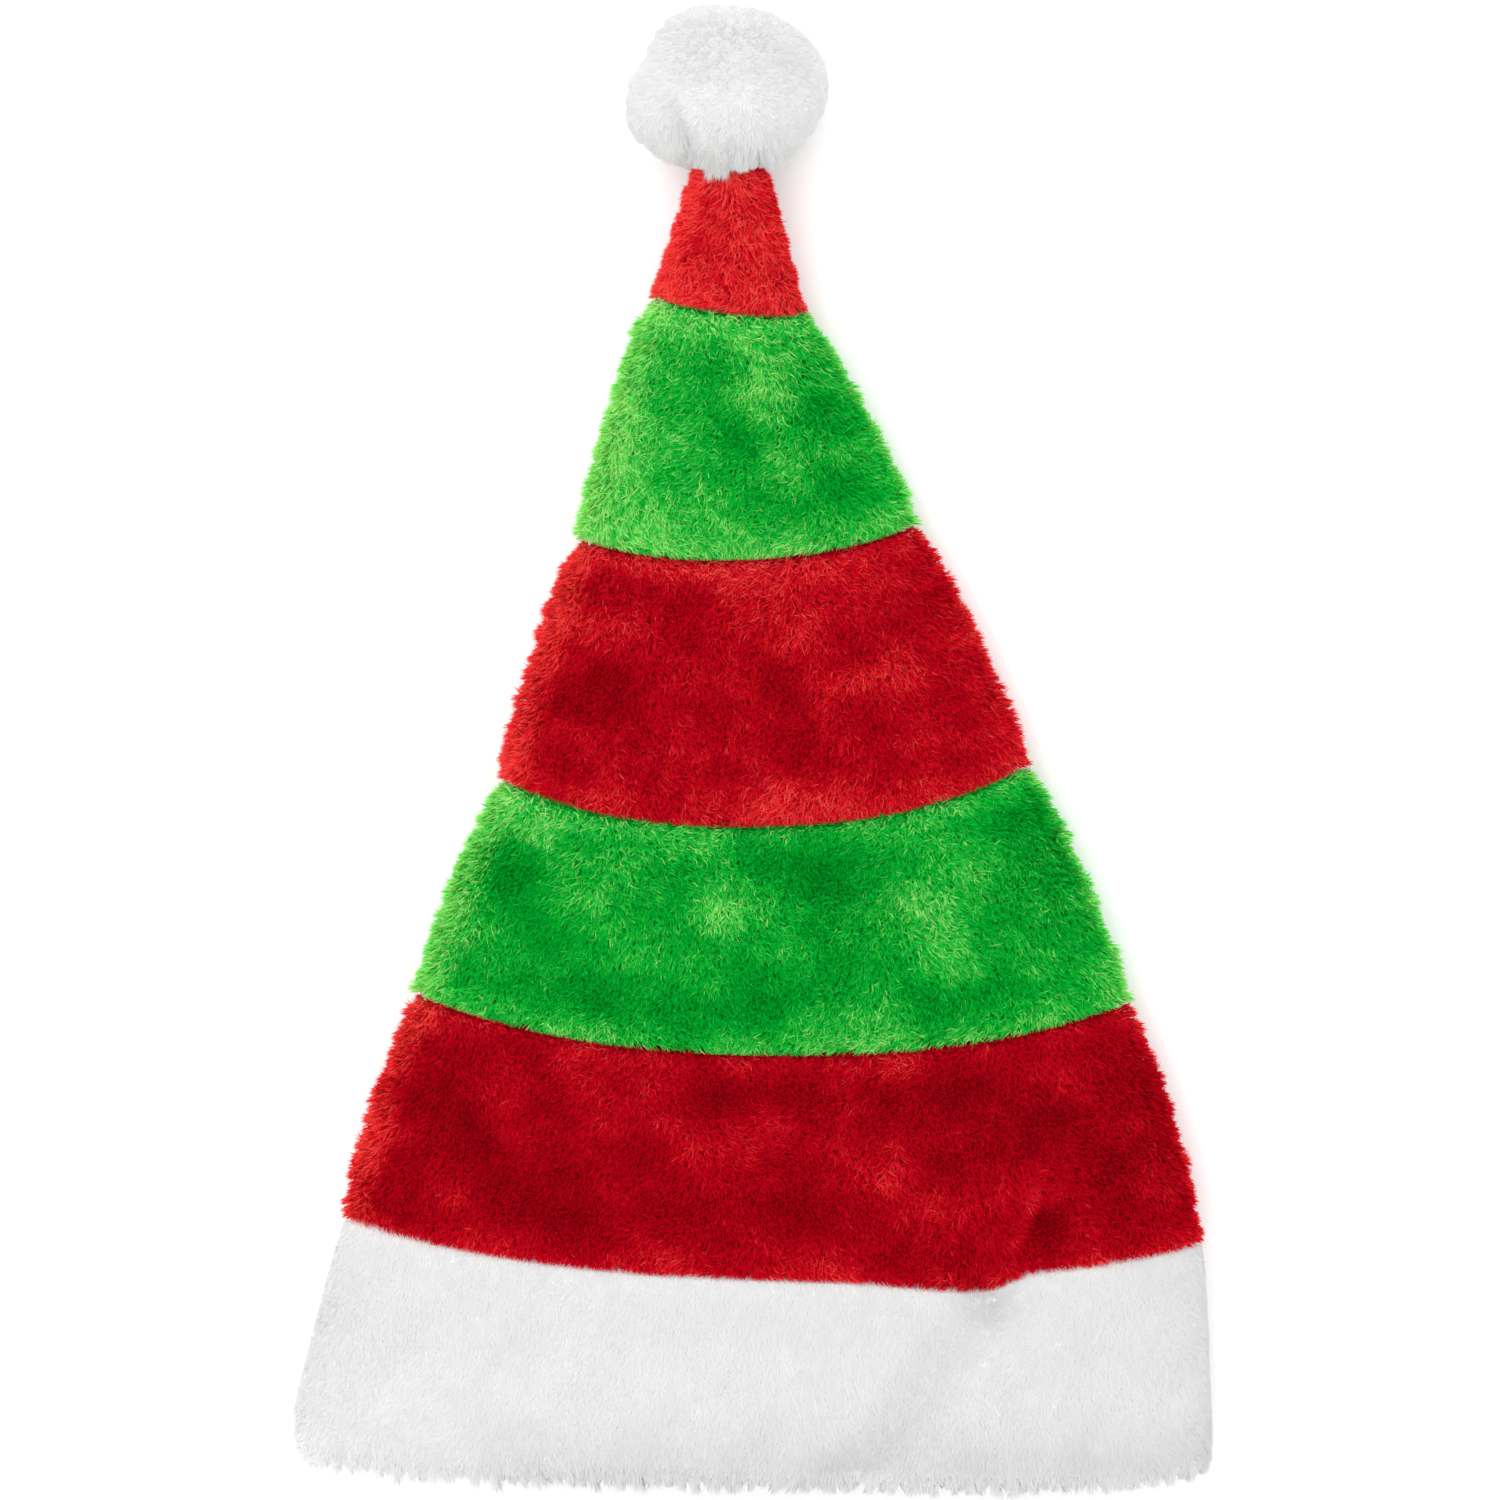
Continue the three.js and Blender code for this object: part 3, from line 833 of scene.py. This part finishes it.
def cuff_pieces(tube, rng, seed):
    """The cuff: cloth folded at the rim, pile outside and round the fold, short pile inside."""
    fur = CUFF_FUR
    depth, under, long = tube["pile"], tube["under"], tube["long"]
    depths = (depth, depth + CUFF_BACKING, LINING_DEPTH - CUFF_BACKING, LINING_DEPTH)
    unders = [under + UNDER_STEP * step for step in range(4)]
    faces = [tube_surface(tube, *pair) for pair in zip(depths, unders)]
    outer_top, outer_back, inner_back, inner_top = faces
    hem_out = hem_surface(tube, depths[0], depths[3], unders[0], unders[3])
    hem_in = hem_surface(tube, depths[1], depths[2], unders[1], unders[2])
    start, end = HEM_START / long, tube["high"] - MARGIN
    close = np.linspace(start, end, CUFF_RINGS)[1:]
    wide = (start + LINING_GAP, *LINING_SHARES, end)
    turns = np.linspace(0, 1, HEM_RINGS)

    def layer(inside, fold, outside):
        """Rings from the inner end of one face of the cloth, round the fold, to its outer end."""
        rings = rings_of(inside, wide, FINE)[::-1]
        return rings + rings_of(fold, turns, FINE) + rings_of(outside, close, FINE)

    face = layer(inner_top, hem_out, outer_top)
    back = layer(inner_back, hem_in, outer_back)
    cloth = loft_object("cuff_cloth", face + back[::-1], True)

    parts = []
    for surface, count, outward, pile, tuft, draw in (
        (outer_top, tube["strands"], 1, depth, CUFF_TUFT, CUFF_DRAW),
        (hem_out, HEM_STRANDS, 1, HEM_PILE, HEM_TUFT, HEM_DRAW),
        (inner_top, LINING_STRANDS, -1, LINING_PILE, CUFF_TUFT, CUFF_DRAW),
    ):
        at_hem = surface == hem_out
        around, share = scatter(surface, count, rng, 0 if at_hem else start, least=fur["least"])
        roots, normals, _ = frames(surface, around, share)
        normals = normals * outward
        x, y = roots[:, 0], roots[:, 1]
        down = np.clip(-normals[:, 2], 0, 1) * (outward > 0)
        ahead = np.clip(-normals[:, 1], 0, 1)
        laid = uneven(x, y, CUFF_BRUSHED)
        lean = np.radians(np.clip(fur["lean"] + fur["lean_by_laid"] * laid, *fur["lean_limits"]))
        length = pile + (under - pile) * down
        grain = PLUSH[tube["slot"]]["grain"] * rng.normal(size=count)
        # The tint paints light on laid pile and shade on upright pile; grain is random tone.
        tint = fur["tint"] + fur["painted_light_by_laid"] * laid + grain
        # Painted shade towards the rim, faded out towards the left corner.
        rim = np.clip((fur["rim_from"] - y) / fur["rim_reach"], 0, 1)
        rim *= np.clip((x - fur["corner_from"]) / fur["corner_reach"], 0, 1)
        # Painted light on faces turned to the left, painted shade towards the rim.
        tint += fur["left_painted_light"] * np.clip(-normals[:, 0], 0, 1) - fur["rim_painted_shade"] * rim
        if at_hem:
            lean *= 1 - fur["hem_upright"] * ahead
            teeth = 1 + HEM_TEETH * waves(x, fur["tooth_slope"] * y, fur["tooth_size"], SEED["hem_teeth"])
            length = depth + (length * teeth - depth) * ahead
            draw = draw * ahead[:, None] ** 2
        else:
            # Painted shade in the creases.
            tint -= fur["crease_painted_shade"] * crease_at(x, y)
            length *= 1 - fur["end_short"] * near((1 - share) * long, fur["end_reach"])
        length = length_to(length, lean) * rng.uniform(*fur["length"], count)
        gather = draw * tuft_offsets(roots, tuft, seed, HEM_TALL if at_hem else 1.0)
        combs = comb_down(x, y, CUFF_SWIRLS)
        combs[:, 2] -= fur["drop"] * np.abs(normals[:, 0])
        corners = strands(roots, normals, combs, length, lean, gather, fur, rng, simple=True)
        lift = (fur["lift"] + np.abs(normals[:, 0])) * (outward > 0)
        parts.append((corners, tint, facing(normals, lift, fur["spread"], rng)))
    pile = strand_object("cuff_pile", *(np.concatenate(part) for part in zip(*parts)))
    declare_cloth(rings_of(outer_top, close), pile)
    return cloth, pile


def pompom_pieces(rng):
    """A packed head and the fur standing on it, falling towards the mouth over the hat's tip."""
    fur = POMPOM_FUR
    rings = rings_of(pompom_surface, np.linspace(POLE, 1 - POLE, POMPOM_RINGS))
    head = loft_object("pompom_head", rings, False, True)
    span = (POLE_GAP, 1 - POLE_GAP)
    around, share = scatter(pompom_surface, POMPOM_STRANDS, rng, *span, least=fur["least"])
    roots, normals, _ = frames(pompom_surface, around, share)
    half = np.array(POMPOM_HALF)
    way = unit((roots - np.array(POMPOM_MIDDLE)) / half)
    count = len(roots)
    x, y, z = roots.T

    on_top = np.clip(3 * way[:, 2], 0, 1)
    front = np.clip(-way[:, 1] * fur["front_rise"] - fur["front_from"], 0, 1) ** 2 * on_top
    limb = np.clip(1 - np.abs(way[:, 2]) / fur["limb_reach"], 0, 1)
    lock = fur["lock"] + fur["lock_uneven"] * waves(x, y, fur["lock_size"], SEED["locks"])
    reach = (1 - POMPOM_HEAD) * np.linalg.norm(way * half, axis=-1)
    reach += lock.clip(0, fur["most_lock"]) * front
    reach *= 1 + POMPOM_TEETH * limb * waves(x, y, TOOTH_SIZE, SEED["limb_teeth"])
    lean = np.clip(fur["lean"] + fur["lean_spread"] * rng.normal(size=count), *fur["lean_limits"])
    lean = np.radians(lean * (1 - fur["front_upright"] * front - fur["limb_upright"] * limb))
    length = length_to(reach, lean) * rng.uniform(*fur["length"], count)

    pairs = zip(((x, y), (y, z), (z, x)), SEED["fur_swirls"])
    swirl = np.stack([waves(*pair, fur["swirl_size"], seed) for pair, seed in pairs], -1)
    combs = np.array(POMPOM_COMB) + fur["swirl"] * swirl
    crown = np.clip(-dot(way, unit(np.array(POMPOM_COMB))), 0, 1)
    stray = fur["stray"] + fur["crown_stray"] * crown ** fur["crown_power"]
    gather = POMPOM_DRAW * tuft_offsets(roots, POMPOM_TUFT, SEED["pompom_tufts"])
    points = SIDE_DRAW * tuft_offsets(roots, SIDE_TUFT, SEED["limb_tufts"], TALL)
    gather += (points - gather) * np.maximum(front, fur["limb_draw"] * limb)[:, None]
    corners = strands(roots, normals, combs, length, lean, gather, fur, rng, stray, simple=True)
    # Painted shade in the dimple; grain is random tone.
    tint = fur["tint"] - fur["valley_painted_shade"] * furrow_at(x, y, VALLEY)
    tint += PLUSH["white_plush"]["grain"] * rng.normal(size=count)
    # Painted shade on faces turned to the left.
    tint -= fur["left_painted_shade"] * np.clip(-normals[:, 0], 0, 1)
    fluff = strand_object("pompom_pile", corners, tint, facing(normals, fur["lift"], fur["spread"], rng))
    return head, fluff


tubes = [dict(zip(TUBE_COLUMNS, row)) for row in (CUFF, *STRIPES)]
for number, tube in enumerate(tubes):
    above = tubes[number + 1]["hang"] if number + 1 < len(tubes) else 0.0
    tube["long"] = LINES[tube["end"]][2] - LINES[tube["start"]][2]
    tube["low"] = tube["hang"] / tube["long"]
    tube["high"] = 1 + above / tube["long"]
    make = cuff_pieces if tube["node"] == "cuff" else stripe_pieces
    cloth, pile = make(tube, np.random.default_rng(SEED["tubes"] + number), SEED["tufts"] + number)
    dress(cloth, tube["slot"], CLOTH[tube["slot"]], tube["node"])
    dress(pile, tube["slot"], PILE[tube["slot"]])

head, fluff = pompom_pieces(np.random.default_rng(SEED["pompom"]))
dress(head, "white_plush", CLOTH["white_plush"], "pompom")
dress(fluff, "white_plush", PILE["white_plush"])

# Stage: a pale floor, a bright even sky and one large soft lamp, in metres and watts.
bpy.ops.mesh.primitive_plane_add(size=FLOOR_SIZE, location=(0, 0, 0))
floor = bpy.context.object
floor.name = "floor"
floor_material = bpy.data.materials.new("floor")
floor_material.use_nodes = True
floor_shader = floor_material.node_tree.nodes["Principled BSDF"]
floor_shader.inputs["Base Color"].default_value = (*FLOOR_SHADE, 1)
floor_shader.inputs["Roughness"].default_value = FLOOR_ROUGHNESS
floor.data.materials.append(floor_material)

world = bpy.data.worlds.new("studio")
world.use_nodes = True
world.node_tree.nodes["Background"].inputs["Color"].default_value = (1, 1, 1, 1)
world.node_tree.nodes["Background"].inputs["Strength"].default_value = SKY_STRENGTH
bpy.context.scene.world = world

lamp_data = bpy.data.lights.new("key", "AREA")
lamp_data.size = LAMP_SIZE
lamp_data.energy = LAMP_WATTS
lamp = bpy.data.objects.new("key", lamp_data)
lamp.location = LAMP_PLACE
lamp.rotation_euler = (-Vector(lamp.location)).to_track_quat("-Z", "Y").to_euler()
bpy.context.scene.collection.objects.link(lamp)

# The camera looks straight down, as in the photo.
camera_data = bpy.data.cameras.new("camera")
camera_data.lens = LENS
camera_data.sensor_width = SENSOR
camera = bpy.data.objects.new("camera", camera_data)
distance = FRAME_MM * camera_data.lens / camera_data.sensor_width
camera.location = [value * MM for value in (*FRAME_MIDDLE, FOLD_HEIGHT + distance)]
camera.rotation_euler = (0, 0, 0)
bpy.context.scene.collection.objects.link(camera)
bpy.context.scene.camera = camera
bpy.context.scene.view_settings.view_transform = "Standard"
